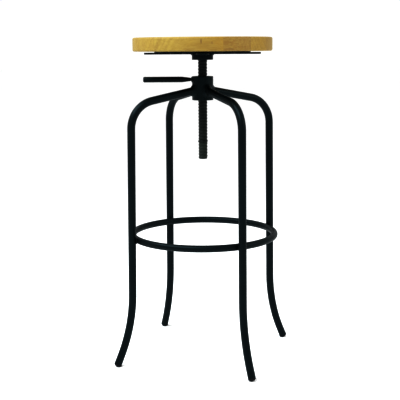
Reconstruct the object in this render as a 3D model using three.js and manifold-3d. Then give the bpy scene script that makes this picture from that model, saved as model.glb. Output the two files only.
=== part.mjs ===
// Adjustable swivel bar stool: a round wooden seat on a screw spindle, held in the hub of a
// four-legged tube frame with a ring footrest, and locked by a clamp lever.
// Millimetres, +Z up. The origin is on the floor, under the spindle's axis, and the legs stand on the
// diagonals of X and Y. The height is drawn part-way up the screw's travel.

import * as THREE from 'three';
import { mergeVertices } from 'three/addons/utils/BufferGeometryUtils.js';
import Module from 'manifold-3d';

const wasm = await Module();
wasm.setup();

// ---------------------------------------------------------------- driving dimensions

const GAP = 0.3; // left between pieces that touch

const SEAT_TOP = 774;
const SEAT_RADIUS = 165;
const SEAT_THICKNESS = 32;
const SEAT_EDGE = 4; // radius of the eased edges
const SEAT_TURN = 17.35; // how far the seat is turned from the frame's X axis, in degrees

const PLATE_RADIUS = 114;
const PLATE_THICKNESS = 2.5;
const BAR_REACH = 138.4; // from the spindle's axis to a bar's tip
const BAR_WIDTH = 30;
const BAR_THICKNESS = 3.9;
const COLLAR_RADIUS = 25;
const COLLAR_HEIGHT = 12.7;
const COLLAR_CHAMFER = 0.5;

const SCREW_CIRCLES = [60, 100]; // the wood screws stand on these, midway between the bars
const SCREW_SHANK_RADIUS = 2.1;
const SCREW_HEAD_RADIUS = 4.6;
const SCREW_HEAD_HEIGHT = 2.8;
const SCREW_CROWN = 1.2; // height of the head's sloping part
const SCREW_IN_WOOD = 22;
const SCREW_POINT = 5;
const PILOT_SPARE = 2; // how much deeper than the screw its pilot hole is

const SPINDLE_RADIUS = 10.6; // over the thread's crests
const SPINDLE_BOTTOM = 486;
const SPINDLE_CHAMFER = 1.6;
const RING_GROOVE_HEIGHT = 527; // middle of the groove that holds the retaining ring
const RING_GROOVE_WIDTH = 1.8;
const RING_GROOVE_DEPTH = 1;
const STOP_WASHER_RADIUS = 11.9;
const STOP_WASHER_THICKNESS = 1.5;
const STOP_WASHER_CHAMFER = 0.2;
const RETAINING_RING_RADIUS = 11.5;
const RETAINING_RING_GAP = 50; // degrees left open between the ring's ends

const HUB_RADIUS = 25;
const HUB_WALL = 5;
const HUB_BOTTOM = 627;
const HUB_HEIGHT = 56;
const HUB_CHAMFER = 0.8;
const NUT_RECESS = 1; // below each end of the hub

const LEG_ANGLES = { front_left: 225, front_right: 315, back_right: 45, back_left: 135 };
const TUBE_RADIUS = 9;
const TUBE_WALL = 1.5;
const ARM_HEIGHT = 653.8; // where an arm's centreline would meet the spindle's axis
const ARM_SLOPE = 10.5; // degrees below level
const SHOULDER_RADIUS = 65;
const LEG_REACH = 190; // from the spindle's axis to a leg's centreline, at the footrest
const LEG_LEAN = 0.7; // degrees, outwards going down
const FLARE_RADIUS = 380;
const FOOT_ANGLE = 24; // degrees from upright, where the leg ends
const FOOT_STRAIGHT = 20;

const FOOTREST_HEIGHT = 301.7;
const FOOTREST_TUBE_RADIUS = 8;
const FOOTREST_WALL = 1.2;
const FOOTREST_SEAM_ANGLE = 135; // the butt joint faces the back left leg

const GLIDE_HEAD_RADIUS = 9.3;
const GLIDE_HEAD = 1.5; // straight part of the head, below the tube's end
const GLIDE_DOME = 5.5;
const GLIDE_FLAT = 0.6; // how much of the dome's lowest point is flattened
const GLIDE_STEM_RADIUS = 7;
const GLIDE_STEM = 16;
const GLIDE_STEM_CHAMFER = 1;

const LEVER_ANGLE = 197.35; // degrees about the spindle's axis
const LEVER_HEIGHT = 675.8;
const LEVER_TIP = 141.3; // all the lever's lengths are measured from the spindle's axis
const LEVER_TAPER_START = 51;
const LEVER_NECK = 30;
const LEVER_RADIUS = 6.5;
const LEVER_NECK_RADIUS = 4.2;
const LEVER_CHAMFER = 2;
const STUD_RADIUS = 4;
const STUD_END = 15.9;
const STUD_CHAMFER = 0.5;
const PAD_LENGTH = 4.7;
const PAD_RADIUS = 3.7;
const BOSS_RADIUS = 5.8;
const BOSS_CHAMFER = 0.8;
const BOSS_FACE = 27; // from the spindle's axis
const BOSS_ROOT = 21; // where the boss's blank starts, before the hub is cut from it

const CUT_MARGIN = 10; // how far a cutting piece runs past what it cuts

// How many facets go round each kind of round piece.
const SIDES = {
  leg: 14, footrest: 12, glide: 20, lever: 20, screw: 12, washer: 24, spindle: 24, nut: 28, hub: 36,
  saddle: 48, plate: 60, seat: 80,
};
const SHOULDER_STEPS = 8;
const FLARE_STEPS = 7;
const FOOTREST_STEPS = 48;
const DOME_STEPS = 5;
const BAR_END_STEPS = 8;
const RETAINING_RING_STEPS = 14;

// ---------------------------------------------------------------- worked-out places

const SEAT_BOTTOM = SEAT_TOP - SEAT_THICKNESS;
const PLATE_BOTTOM = SEAT_BOTTOM - GAP - PLATE_THICKNESS;
const BAR_BOTTOM = PLATE_BOTTOM - GAP - BAR_THICKNESS;
const COLLAR_TOP = BAR_BOTTOM - GAP;
const GLIDE_DOME_RADIUS = (GLIDE_HEAD_RADIUS ** 2 + GLIDE_DOME ** 2) / (2 * GLIDE_DOME);
// How far inside the tube's end the centre of the dome's sphere lies.
const GLIDE_CENTRE_DEPTH = GLIDE_DOME_RADIUS - GLIDE_DOME - GLIDE_HEAD;
const TUBE_END_HEIGHT =
  GLIDE_DOME_RADIUS - GLIDE_FLAT - GLIDE_CENTRE_DEPTH * Math.cos(rad(FOOT_ANGLE));
const FOOTREST_RADIUS = LEG_REACH - TUBE_RADIUS - FOOTREST_TUBE_RADIUS - GAP;

// ---------------------------------------------------------------- materials

const blackSteel = new THREE.MeshStandardMaterial({ color: 0x15181b, roughness: 0.45, metalness: 0.4 });
const darkSteel = new THREE.MeshStandardMaterial({ color: 0x22221f, roughness: 0.4, metalness: 0.8 });
const zincSteel = new THREE.MeshStandardMaterial({ color: 0xa9a9a4, roughness: 0.35, metalness: 0.9 });
const blackPlastic = new THREE.MeshStandardMaterial({ color: 0x1b1b1c, roughness: 0.6, metalness: 0 });
const paleNylon = new THREE.MeshStandardMaterial({ color: 0xd8d4c4, roughness: 0.55, metalness: 0 });
const honeyWood = new THREE.MeshStandardMaterial({ color: 0xd8a548, roughness: 0.5, metalness: 0 });

// ---------------------------------------------------------------- geometry helpers

function rad(degrees) {
  return THREE.MathUtils.degToRad(degrees);
}

/** Points of a circle as a polygon, for a shape or a hole in one. */
function circle(radius, sides, x = 0, y = 0) {
  return Array.from({ length: sides }, (_, i) => {
    const angle = (2 * Math.PI * i) / sides;
    return new THREE.Vector2(x + radius * Math.cos(angle), y + radius * Math.sin(angle));
  });
}

/** Points [r, z] of a quarter-circle edge about (r, z), from one angle in degrees to another. */
function easedEdge(r, z, radius, from, to, steps = 3) {
  return Array.from({ length: steps + 1 }, (_, i) => {
    const angle = rad(from + ((to - from) * i) / steps);
    return [r + radius * Math.cos(angle), z + radius * Math.sin(angle)];
  });
}

/** A solid turned about Z, from an outline of [r, z] points that goes up on the outside. */
function turned(outline, sides) {
  const points = outline.map(([r, z]) => new THREE.Vector2(r, z));
  return new THREE.LatheGeometry(points, sides).rotateX(Math.PI / 2);
}

/** A turned tube with chamfered ends. */
function turnedTube(inner, outer, bottom, top, chamfer, sides) {
  return turned([
    [inner, bottom],
    [outer - chamfer, bottom],
    [outer, bottom + chamfer],
    [outer, top - chamfer],
    [outer - chamfer, top],
    [inner, top],
    [inner, bottom],
  ], sides);
}

/** A plain round bar along Z. */
function roundBar(radius, bottom, top, sides) {
  return turned([[0, bottom], [radius, bottom], [radius, top], [0, top]], sides);
}

/** A plate cut from a shape, between two heights. */
function plateFrom(shape, bottom, thickness, curveSegments = 12) {
  const options = { depth: thickness, bevelEnabled: false, curveSegments };
  return new THREE.ExtrudeGeometry(shape, options).translate(0, 0, bottom);
}

/** Turns a piece drawn along Z so that it lies along X. */
function alongX(geometry) {
  return geometry.rotateY(Math.PI / 2);
}

/** The manifold solid of a closed geometry. */
function solidOf(geometry) {
  const plain = geometry.clone();
  plain.deleteAttribute('normal');
  plain.deleteAttribute('uv');
  const merged = mergeVertices(plain, 1e-4);
  const corners = merged.index.array;
  const triangles = [];
  for (let i = 0; i < corners.length; i += 3) {
    const [a, b, c] = corners.slice(i, i + 3);
    if (a !== b && b !== c && c !== a) triangles.push(a, b, c);
  }
  return new wasm.Manifold(new wasm.Mesh({
    numProp: 3,
    vertProperties: merged.attributes.position.array,
    triVerts: new Uint32Array(triangles),
  }));
}

/** The three.js geometry of a manifold solid. */
function geometryOf(solid) {
  const { numProp, vertProperties, triVerts } = solid.getMesh();
  const positions = new Float32Array(triVerts.length * 3);
  triVerts.forEach((vertex, i) => {
    for (let axis = 0; axis < 3; axis += 1) {
      positions[i * 3 + axis] = vertProperties[vertex * numProp + axis];
    }
  });
  const geometry = new THREE.BufferGeometry();
  geometry.setAttribute('position', new THREE.BufferAttribute(positions, 3));
  geometry.computeVertexNormals();
  return geometry;
}

/** A piece with other pieces cut away from it. */
function cut(geometry, ...cutters) {
  const left = cutters.reduce((solid, cutter) => solid.subtract(solidOf(cutter)), solidOf(geometry));
  return geometryOf(left);
}

function piece(name, geometry, material) {
  const mesh = new THREE.Mesh(geometry, material);
  mesh.name = name;
  return mesh;
}

/**
 * The centreline of a rod bent in the XZ plane: straight runs and round bends joined end to end.
 * A run is { length } or { radius, turn, steps }, with turn in degrees, positive upwards. Each step
 * of a run takes an equal share of the curve's parameter, so straight runs take one step.
 */
class BentRod extends THREE.Curve {
  constructor(start, heading, runs) {
    super();
    this.runs = [];
    let at = start.clone();
    let angle = rad(heading);
    for (const { length = 0, radius = 0, turn = 0, steps = 1 } of runs) {
      const run = { at, angle, length, radius, turn: rad(turn), steps };
      this.runs.push(run);
      at = this.placeOn(run, 1);
      angle += run.turn;
    }
    this.steps = this.runs.reduce((sum, run) => sum + run.steps, 0);
    this.end = at;
  }

  placeOn(run, share) {
    const angle = run.angle + run.turn * share;
    if (run.turn === 0) {
      const offset = new THREE.Vector3(Math.cos(angle), 0, Math.sin(angle));
      return run.at.clone().addScaledVector(offset, run.length * share);
    }
    const side = Math.sign(run.turn) * run.radius;
    const toCentre = new THREE.Vector3(-Math.sin(run.angle), 0, Math.cos(run.angle));
    const fromCentre = new THREE.Vector3(Math.sin(angle), 0, -Math.cos(angle));
    return run.at.clone().addScaledVector(toCentre, side).addScaledVector(fromCentre, side);
  }

  find(u) {
    let step = u * this.steps;
    for (const run of this.runs) {
      if (step <= run.steps || run === this.runs.at(-1)) return [run, Math.min(step / run.steps, 1)];
      step -= run.steps;
    }
    return null;
  }

  getUtoTmapping(u) {
    return u;
  }

  getPoint(u, target = new THREE.Vector3()) {
    return target.copy(this.placeOn(...this.find(u)));
  }

  getTangent(u, target = new THREE.Vector3()) {
    const [run, share] = this.find(u);
    const angle = run.angle + run.turn * share;
    return target.set(Math.cos(angle), 0, Math.sin(angle));
  }
}

/** A round tube along a curve, open at both ends. */
function tubeAlong(path, radius, wall, steps, sides) {
  const section = new THREE.Shape(circle(radius, sides));
  section.holes.push(new THREE.Path(circle(radius - wall, sides)));
  return new THREE.ExtrudeGeometry(section, { steps, extrudePath: path, bevelEnabled: false });
}

// ---------------------------------------------------------------- frame

/** A leg's centreline, in its own upright plane: arm, shoulder bend, upright, flare and foot. */
function legPath() {
  const armFall = Math.tan(rad(ARM_SLOPE));
  const leanOut = Math.tan(rad(LEG_LEAN));
  const corner = (LEG_REACH - (ARM_HEIGHT - FOOTREST_HEIGHT) * leanOut) / (1 - armFall * leanOut);
  const cornerHeight = ARM_HEIGHT - corner * armFall;
  const shoulderTurn = 90 - ARM_SLOPE - LEG_LEAN;
  const tangent = SHOULDER_RADIUS * Math.tan(rad(shoulderTurn / 2));
  const flareDrop =
    FLARE_RADIUS * (Math.sin(rad(FOOT_ANGLE)) - Math.sin(rad(LEG_LEAN))) +
    FOOT_STRAIGHT * Math.cos(rad(FOOT_ANGLE));
  const flareTop = TUBE_END_HEIGHT + flareDrop;
  const start = HUB_RADIUS / 2; // inside the hub, which the arm's end is cut to fit
  return new BentRod(new THREE.Vector3(start, 0, ARM_HEIGHT - start * armFall), -ARM_SLOPE, [
    { length: (corner - start) / Math.cos(rad(ARM_SLOPE)) - tangent },
    { radius: SHOULDER_RADIUS, turn: -shoulderTurn, steps: SHOULDER_STEPS },
    { length: (cornerHeight - flareTop) / Math.cos(rad(LEG_LEAN)) - tangent },
    { radius: FLARE_RADIUS, turn: FOOT_ANGLE - LEG_LEAN, steps: FLARE_STEPS },
    { length: FOOT_STRAIGHT },
  ]);
}

/** What is cut from the pieces that are welded to the hub's side. */
function hubCutter() {
  const bottom = HUB_BOTTOM - CUT_MARGIN;
  return roundBar(HUB_RADIUS + GAP, bottom, HUB_BOTTOM + HUB_HEIGHT + CUT_MARGIN, SIDES.saddle);
}

/** The bent tube, with its upper end saddled to the hub. */
function legGeometry(path) {
  const tube = tubeAlong(path, TUBE_RADIUS, TUBE_WALL, path.steps, SIDES.leg);
  return cut(tube, hubCutter());
}

/** The plastic glide plugged into a leg's end: stem, head and a dome with a flat on the floor. */
function glideGeometry(path) {
  const dome = GLIDE_DOME_RADIUS;
  const rim = Math.asin(GLIDE_HEAD_RADIUS / dome);
  const outline = [];
  for (let i = 0; i < DOME_STEPS; i += 1) {
    const angle = (rim * i) / DOME_STEPS;
    outline.push([dome * Math.sin(angle), GLIDE_CENTRE_DEPTH - dome * Math.cos(angle)]);
  }
  outline.push(
    [GLIDE_HEAD_RADIUS, -GLIDE_HEAD],
    [GLIDE_HEAD_RADIUS, -GAP],
    [GLIDE_STEM_RADIUS, -GAP],
    [GLIDE_STEM_RADIUS, GLIDE_STEM - GLIDE_STEM_CHAMFER],
    [GLIDE_STEM_RADIUS - GLIDE_STEM_CHAMFER, GLIDE_STEM],
    [0, GLIDE_STEM],
  );
  const glide = turned(outline, SIDES.glide).rotateY(-rad(FOOT_ANGLE));
  glide.translate(path.end.x, 0, path.end.z);
  const breadth = 2 * (GLIDE_HEAD_RADIUS + CUT_MARGIN);
  const floor = new THREE.BoxGeometry(breadth, breadth, CUT_MARGIN);
  return cut(glide, floor.translate(path.end.x, 0, -CUT_MARGIN / 2));
}

function addLegs(base) {
  const path = legPath();
  const leg = legGeometry(path);
  const glide = glideGeometry(path);
  for (const [place, angle] of Object.entries(LEG_ANGLES)) {
    const quarter = new THREE.Group();
    quarter.rotation.z = rad(angle);
    quarter.add(piece(`leg_${place}`, leg, blackSteel));
    quarter.add(piece(`glide_${place}`, glide, blackPlastic));
    base.add(quarter);
  }
}

/** The footrest's centreline: one turn, less the hairline of its butt joint. */
class RingPath extends THREE.Curve {
  getUtoTmapping(u) {
    return u;
  }

  getPoint(u, target = new THREE.Vector3()) {
    const hairline = GAP / FOOTREST_RADIUS;
    const angle = rad(FOOTREST_SEAM_ANGLE) + hairline / 2 + u * (2 * Math.PI - hairline);
    return target.set(FOOTREST_RADIUS * Math.cos(angle), FOOTREST_RADIUS * Math.sin(angle), 0);
  }
}

function footrestRing() {
  const path = new RingPath();
  const wall = FOOTREST_WALL;
  const ring = tubeAlong(path, FOOTREST_TUBE_RADIUS, wall, FOOTREST_STEPS, SIDES.footrest);
  return piece('footrest_ring', ring.translate(0, 0, FOOTREST_HEIGHT), blackSteel);
}

/** The hole for the lever's stud, from the thread out through the nut, hub and boss. */
function studHole() {
  const end = BOSS_FACE + CUT_MARGIN;
  const hole = alongX(roundBar(STUD_RADIUS + GAP, SPINDLE_RADIUS / 2, end, SIDES.lever));
  return hole.translate(0, 0, LEVER_HEIGHT).rotateZ(rad(LEVER_ANGLE));
}

function hubSleeve() {
  const inner = HUB_RADIUS - HUB_WALL;
  const top = HUB_BOTTOM + HUB_HEIGHT;
  const tube = turnedTube(inner, HUB_RADIUS, HUB_BOTTOM, top, HUB_CHAMFER, SIDES.hub);
  return piece('hub_sleeve', cut(tube, studHole()), blackSteel);
}

function spindleNut() {
  const bottom = HUB_BOTTOM + NUT_RECESS;
  const top = HUB_BOTTOM + HUB_HEIGHT - NUT_RECESS;
  const outer = HUB_RADIUS - HUB_WALL - GAP;
  const nut = turnedTube(SPINDLE_RADIUS + GAP, outer, bottom, top, HUB_CHAMFER, SIDES.nut);
  return piece('spindle_nut', cut(nut, studHole()), zincSteel);
}

/** The tapped boss welded to the hub, which the lever screws into. */
function lockBoss() {
  const blank = turned([
    [0, BOSS_ROOT],
    [BOSS_RADIUS, BOSS_ROOT],
    [BOSS_RADIUS, BOSS_FACE - BOSS_CHAMFER],
    [BOSS_RADIUS - BOSS_CHAMFER, BOSS_FACE],
    [0, BOSS_FACE],
  ], SIDES.lever);
  const boss = alongX(blank).translate(0, 0, LEVER_HEIGHT).rotateZ(rad(LEVER_ANGLE));
  return piece('lock_boss', cut(boss, hubCutter(), studHole()), blackSteel);
}

function makeBase() {
  const base = new THREE.Group();
  addLegs(base);
  base.add(footrestRing(), hubSleeve(), spindleNut(), lockBoss());
  return base;
}

// ---------------------------------------------------------------- clamp lever

/** The lever, drawn along X: threaded stud, neck, taper and round handle. */
function lockLever() {
  const bar = turned([
    [0, STUD_END],
    [STUD_RADIUS - STUD_CHAMFER, STUD_END],
    [STUD_RADIUS, STUD_END + STUD_CHAMFER],
    [STUD_RADIUS, LEVER_NECK],
    [LEVER_NECK_RADIUS, LEVER_NECK],
    [LEVER_RADIUS, LEVER_TAPER_START],
    [LEVER_RADIUS, LEVER_TIP - LEVER_CHAMFER],
    [LEVER_RADIUS - LEVER_CHAMFER, LEVER_TIP],
    [0, LEVER_TIP],
  ], SIDES.lever);
  return piece('lock_lever', alongX(bar), blackSteel);
}

/** The soft slug between the stud and the spindle's thread, which keeps the thread from harm. */
function lockPad() {
  const outer = STUD_END - GAP;
  const slug = roundBar(PAD_RADIUS, outer - PAD_LENGTH, outer, SIDES.lever);
  return piece('lock_pad', alongX(slug), paleNylon);
}

function makeLock() {
  const lock = new THREE.Group();
  lock.position.z = LEVER_HEIGHT;
  lock.rotation.z = rad(LEVER_ANGLE);
  lock.add(lockLever(), lockPad());
  return lock;
}

// ---------------------------------------------------------------- seat and spindle

/** Places of the wood screws: midway between the bars of the cross, at each screw circle. */
function screwPlaces() {
  return [45, 135, 225, 315].map(rad).flatMap((angle) => (
    SCREW_CIRCLES.map((r) => new THREE.Vector2(r * Math.cos(angle), r * Math.sin(angle)))
  ));
}

function screwHole({ x, y }) {
  return new THREE.Path(circle(SCREW_SHANK_RADIUS + GAP, SIDES.screw, x, y));
}

/** The laminated wooden disc, with blind pilot holes for the screws. */
function seatDisc() {
  const edge = SEAT_RADIUS - SEAT_EDGE;
  const disc = turned([
    [0, SEAT_BOTTOM],
    ...easedEdge(edge, SEAT_BOTTOM + SEAT_EDGE, SEAT_EDGE, -90, 0),
    ...easedEdge(edge, SEAT_TOP - SEAT_EDGE, SEAT_EDGE, 0, 90),
    [0, SEAT_TOP],
  ], SIDES.seat);
  const radius = SCREW_SHANK_RADIUS + GAP;
  const low = SEAT_BOTTOM - CUT_MARGIN;
  const high = SEAT_BOTTOM + SCREW_IN_WOOD + PILOT_SPARE;
  const pilots = screwPlaces().map(({ x, y }) => (
    roundBar(radius, low, high, SIDES.screw).translate(x, y, 0)
  ));
  return piece('seat', cut(disc, ...pilots), honeyWood);
}

function seatPlate() {
  const disc = new THREE.Shape(circle(PLATE_RADIUS, SIDES.plate));
  disc.holes.push(...screwPlaces().map(screwHole));
  return piece('seat_plate', plateFrom(disc, PLATE_BOTTOM, PLATE_THICKNESS), blackSteel);
}

/** A flat bar along X, from one end to the other, with round or square ends. */
function flatBar(from, to, roundStart) {
  const half = BAR_WIDTH / 2;
  const bar = new THREE.Shape();
  bar.absarc(to - half, 0, half, -Math.PI / 2, Math.PI / 2);
  if (roundStart) {
    bar.absarc(from + half, 0, half, Math.PI / 2, (3 * Math.PI) / 2);
  } else {
    bar.lineTo(from, half);
    bar.lineTo(from, -half);
  }
  bar.closePath();
  return plateFrom(bar, BAR_BOTTOM, BAR_THICKNESS, BAR_END_STEPS);
}

/** The cross under the seat: one whole bar and two half bars butted against its sides. */
function crossBars() {
  const halfStart = BAR_WIDTH / 2 + GAP;
  const quarter = Math.PI / 2;
  return [
    piece('cross_bar', flatBar(-BAR_REACH, BAR_REACH, true), blackSteel),
    piece('side_bar_left', flatBar(halfStart, BAR_REACH, false).rotateZ(quarter), blackSteel),
    piece('side_bar_right', flatBar(halfStart, BAR_REACH, false).rotateZ(-quarter), blackSteel),
  ];
}

/** A pan-head wood screw, driven upwards, with its head under the plate. */
function woodScrew() {
  const head = PLATE_BOTTOM - GAP;
  const tip = SEAT_BOTTOM + SCREW_IN_WOOD;
  return turned([
    [0, head - SCREW_HEAD_HEIGHT],
    [SCREW_HEAD_RADIUS - SCREW_CROWN, head - SCREW_HEAD_HEIGHT],
    [SCREW_HEAD_RADIUS, head - SCREW_HEAD_HEIGHT + SCREW_CROWN],
    [SCREW_HEAD_RADIUS, head],
    [SCREW_SHANK_RADIUS, head],
    [SCREW_SHANK_RADIUS, tip - SCREW_POINT],
    [0, tip],
  ], SIDES.screw);
}

function woodScrews() {
  return screwPlaces().map(({ x, y }, i) => {
    const screw = piece(`seat_screw_${i + 1}`, woodScrew(), darkSteel);
    screw.position.set(x, y, 0);
    return screw;
  });
}

function seatCollar() {
  const bottom = COLLAR_TOP - COLLAR_HEIGHT;
  const inner = SPINDLE_RADIUS + GAP;
  const tube = turnedTube(inner, COLLAR_RADIUS, bottom, COLLAR_TOP, COLLAR_CHAMFER, SIDES.hub);
  return piece('seat_collar', tube, blackSteel);
}

/** The screw spindle, drawn over its thread's crests, with a groove for the retaining ring. */
function spindle() {
  const root = SPINDLE_RADIUS - RING_GROOVE_DEPTH;
  const grooveBottom = RING_GROOVE_HEIGHT - RING_GROOVE_WIDTH / 2;
  const grooveTop = RING_GROOVE_HEIGHT + RING_GROOVE_WIDTH / 2;
  const top = COLLAR_TOP - GAP;
  const rod = turned([
    [0, SPINDLE_BOTTOM],
    [SPINDLE_RADIUS - SPINDLE_CHAMFER, SPINDLE_BOTTOM],
    [SPINDLE_RADIUS, SPINDLE_BOTTOM + SPINDLE_CHAMFER],
    [SPINDLE_RADIUS, grooveBottom],
    [root, grooveBottom],
    [root, grooveTop],
    [SPINDLE_RADIUS, grooveTop],
    [SPINDLE_RADIUS, top],
    [0, top],
  ], SIDES.spindle);
  return piece('spindle', rod, darkSteel);
}

/** The open ring snapped into the spindle's groove. */
function retainingRing() {
  const inner = SPINDLE_RADIUS - RING_GROOVE_DEPTH + GAP;
  const thickness = RING_GROOVE_WIDTH - 2 * GAP;
  const open = rad(RETAINING_RING_GAP / 2);
  const ring = new THREE.Shape();
  ring.absarc(0, 0, RETAINING_RING_RADIUS, open, 2 * Math.PI - open, false);
  ring.absarc(0, 0, inner, 2 * Math.PI - open, open, true);
  ring.closePath();
  const bottom = RING_GROOVE_HEIGHT - thickness / 2;
  const geometry = plateFrom(ring, bottom, thickness, RETAINING_RING_STEPS);
  return piece('retaining_ring', geometry, darkSteel);
}

/** The loose washer on the retaining ring, which meets the hub when the seat is fully raised. */
function stopWasher() {
  const bottom = RING_GROOVE_HEIGHT + RING_GROOVE_WIDTH / 2;
  const top = bottom + STOP_WASHER_THICKNESS;
  const inner = SPINDLE_RADIUS + GAP;
  const chamfer = STOP_WASHER_CHAMFER;
  const washer = turnedTube(inner, STOP_WASHER_RADIUS, bottom, top, chamfer, SIDES.washer);
  return piece('stop_washer', washer, darkSteel);
}

function makeSeat() {
  const seat = new THREE.Group();
  seat.rotation.z = rad(SEAT_TURN);
  seat.add(spindle(), retainingRing(), stopWasher(), seatCollar(), seatPlate(), seatDisc());
  seat.add(...crossBars(), ...woodScrews());
  return seat;
}

// ---------------------------------------------------------------- the stool

const stool = new THREE.Group();
stool.add(makeBase(), makeLock(), makeSeat());

export default stool;
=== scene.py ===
# Adjustable swivel bar stool: the looks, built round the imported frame.
# Metres, +Z up, in the frame's own axes. Every CAD node gets a finer mesh here, except the hidden
# lock pad, which keeps its own and gets a material.

import math

import bmesh
import bpy
import numpy as np
from mathutils import Matrix, Vector


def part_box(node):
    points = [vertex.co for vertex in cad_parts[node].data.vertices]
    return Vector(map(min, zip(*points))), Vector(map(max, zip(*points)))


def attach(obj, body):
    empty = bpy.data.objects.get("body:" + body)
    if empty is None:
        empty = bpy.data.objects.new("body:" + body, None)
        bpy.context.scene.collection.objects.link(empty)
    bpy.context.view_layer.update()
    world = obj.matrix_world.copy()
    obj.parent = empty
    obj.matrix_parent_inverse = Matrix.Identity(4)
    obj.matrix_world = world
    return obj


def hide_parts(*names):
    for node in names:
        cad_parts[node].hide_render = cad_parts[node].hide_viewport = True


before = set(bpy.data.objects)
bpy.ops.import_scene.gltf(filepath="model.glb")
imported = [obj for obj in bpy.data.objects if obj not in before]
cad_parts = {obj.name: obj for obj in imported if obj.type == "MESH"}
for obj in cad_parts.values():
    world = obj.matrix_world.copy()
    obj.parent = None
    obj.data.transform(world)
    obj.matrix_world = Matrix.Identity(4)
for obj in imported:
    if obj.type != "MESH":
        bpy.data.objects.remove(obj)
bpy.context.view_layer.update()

MM = 0.001
EDGE, VERT = bmesh.types.BMEdge, bmesh.types.BMVert

# -------------------- driving dimensions, as in the CAD

GAP = 0.3 * MM

SEAT_TURN = math.radians(17.35)
SEAT_RADIUS = 165 * MM
SEAT_EDGE = 4 * MM
PLATE_RADIUS = 114 * MM
BAR_REACH = 138.4 * MM
BAR_WIDTH = 30 * MM
COLLAR_RADIUS = 25 * MM
SCREW_CIRCLES = (60 * MM, 100 * MM)
SCREW_SHANK_RADIUS = 2.1 * MM
SCREW_HEAD_RADIUS = 4.6 * MM
SCREW_HEAD_HEIGHT = 2.8 * MM

THREAD_PITCH = 7.5 * MM
THREAD_DEPTH = 0.8 * MM
SPINDLE_RADIUS = 10.6 * MM
SPINDLE_CHAMFER = 1.6 * MM
GROOVE_HEIGHT = 527 * MM
GROOVE_WIDTH = 1.8 * MM
GROOVE_DEPTH = 1 * MM
RETAINING_RING_RADIUS = 11.5 * MM
RETAINING_RING_OPEN = math.radians(50)
STOP_WASHER_RADIUS = 11.9 * MM

HUB_RADIUS = 25 * MM
HUB_WALL = 5 * MM

LEG_ANGLES = {"front_left": 225, "front_right": 315, "back_right": 45, "back_left": 135}
TUBE_RADIUS = 9 * MM
TUBE_WALL = 1.5 * MM
ARM_HEIGHT = 653.8 * MM
ARM_SLOPE = math.radians(10.5)
SHOULDER_RADIUS = 65 * MM
LEG_REACH = 190 * MM
LEG_LEAN = math.radians(0.7)
FLARE_RADIUS = 380 * MM
FOOT_ANGLE = math.radians(24)
FOOT_STRAIGHT = 20 * MM

FOOTREST_HEIGHT = 301.7 * MM
FOOTREST_TUBE_RADIUS = 8 * MM
FOOTREST_RADIUS = LEG_REACH - TUBE_RADIUS - FOOTREST_TUBE_RADIUS - GAP
FOOTREST_SEAM = math.radians(135)

GLIDE_HEAD_RADIUS = 9.3 * MM
GLIDE_HEAD = 1.5 * MM
GLIDE_DOME = 5.5 * MM
GLIDE_FLAT = 0.6 * MM
GLIDE_STEM_RADIUS = 7 * MM
GLIDE_STEM = 16 * MM
GLIDE_DOME_RADIUS = (GLIDE_HEAD_RADIUS ** 2 + GLIDE_DOME ** 2) / (2 * GLIDE_DOME)
GLIDE_CENTRE_DEPTH = GLIDE_DOME_RADIUS - GLIDE_DOME - GLIDE_HEAD
TUBE_END_HEIGHT = GLIDE_DOME_RADIUS - GLIDE_FLAT - GLIDE_CENTRE_DEPTH * math.cos(FOOT_ANGLE)

LEVER_TURN = math.radians(197.35)
LEVER_HEIGHT = 675.8 * MM
LEVER_TIP = 141.3 * MM
LEVER_TAPER_START = 51 * MM
LEVER_NECK = 30 * MM
LEVER_RADIUS = 6.5 * MM
LEVER_NECK_RADIUS = 4.2 * MM
LEVER_NOSE = 2.7 * MM
STUD_RADIUS = 4 * MM
STUD_PITCH = 1.25 * MM
STUD_DEPTH = 0.65 * MM
STUD_END = 15.9 * MM
BOSS_RADIUS = 5.8 * MM
BOSS_EDGE = 0.8 * MM
BOSS_FACE = 27 * MM
BOSS_ROOT = 21 * MM

# How far each weld bead reaches along the surfaces that it joins.
ARM_WELD = 7 * MM
BOSS_WELD = 2.2 * MM
COLLAR_WELD = 3.6 * MM
SPINDLE_WELD = 1.7 * MM
WELD_SINK = 0.15 * MM
WELD_ROOT = 0.8 * MM
WELD_RIPPLE = 0.045
PUDDLE_LAG = 0.35

# -------------------- mesh helpers


def ring_angles(sides):
    return np.arange(sides) * 2 * math.pi / sides


def surface(rows, closed=False):
    """Points and faces of a skin through rows of points, each row a ring of the same length.

    The rows close into a loop, or else the first and last of them are capped.
    """
    rows = np.asarray(rows, float)
    count, sides, _ = rows.shape
    faces = []
    for i in range(count if closed else count - 1):
        here, there = i * sides, ((i + 1) % count) * sides
        for j in range(sides):
            k = (j + 1) % sides
            faces.append((here + j, here + k, there + k, there + j))
    if not closed:
        faces.append(tuple(range(sides)))
        faces.append(tuple(range((count - 1) * sides, count * sides)))
    return rows.reshape(-1, 3), faces


def level_points(radius, z, angles):
    """Points at these angles round Z, all at one height."""
    return np.stack([radius * np.cos(angles), radius * np.sin(angles), np.full(len(angles), z)], 1)


def turned(outline, sides, closed=False):
    """A turned solid about Z from an outline of (radius, height) points."""
    return surface([level_points(r, z, ring_angles(sides)) for r, z in outline], closed)


def arc(r, z, radius, start, end, steps=5):
    """Outline points of a rounded corner about (r, z), from one angle in degrees to another."""
    return [
        (r + radius * math.cos(a), z + radius * math.sin(a))
        for a in np.radians(np.linspace(start, end, steps + 1))
    ]


def turned_tube(inner, outer, bottom, top, edge, sides):
    """A turned tube with all four edges rounded."""
    outline = [
        *arc(inner + edge, bottom + edge, edge, 180, 270),
        *arc(outer - edge, bottom + edge, edge, -90, 0),
        *arc(outer - edge, top - edge, edge, 0, 90),
        *arc(inner + edge, top - edge, edge, 90, 180),
    ]
    return turned(outline, sides, closed=True)


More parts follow.
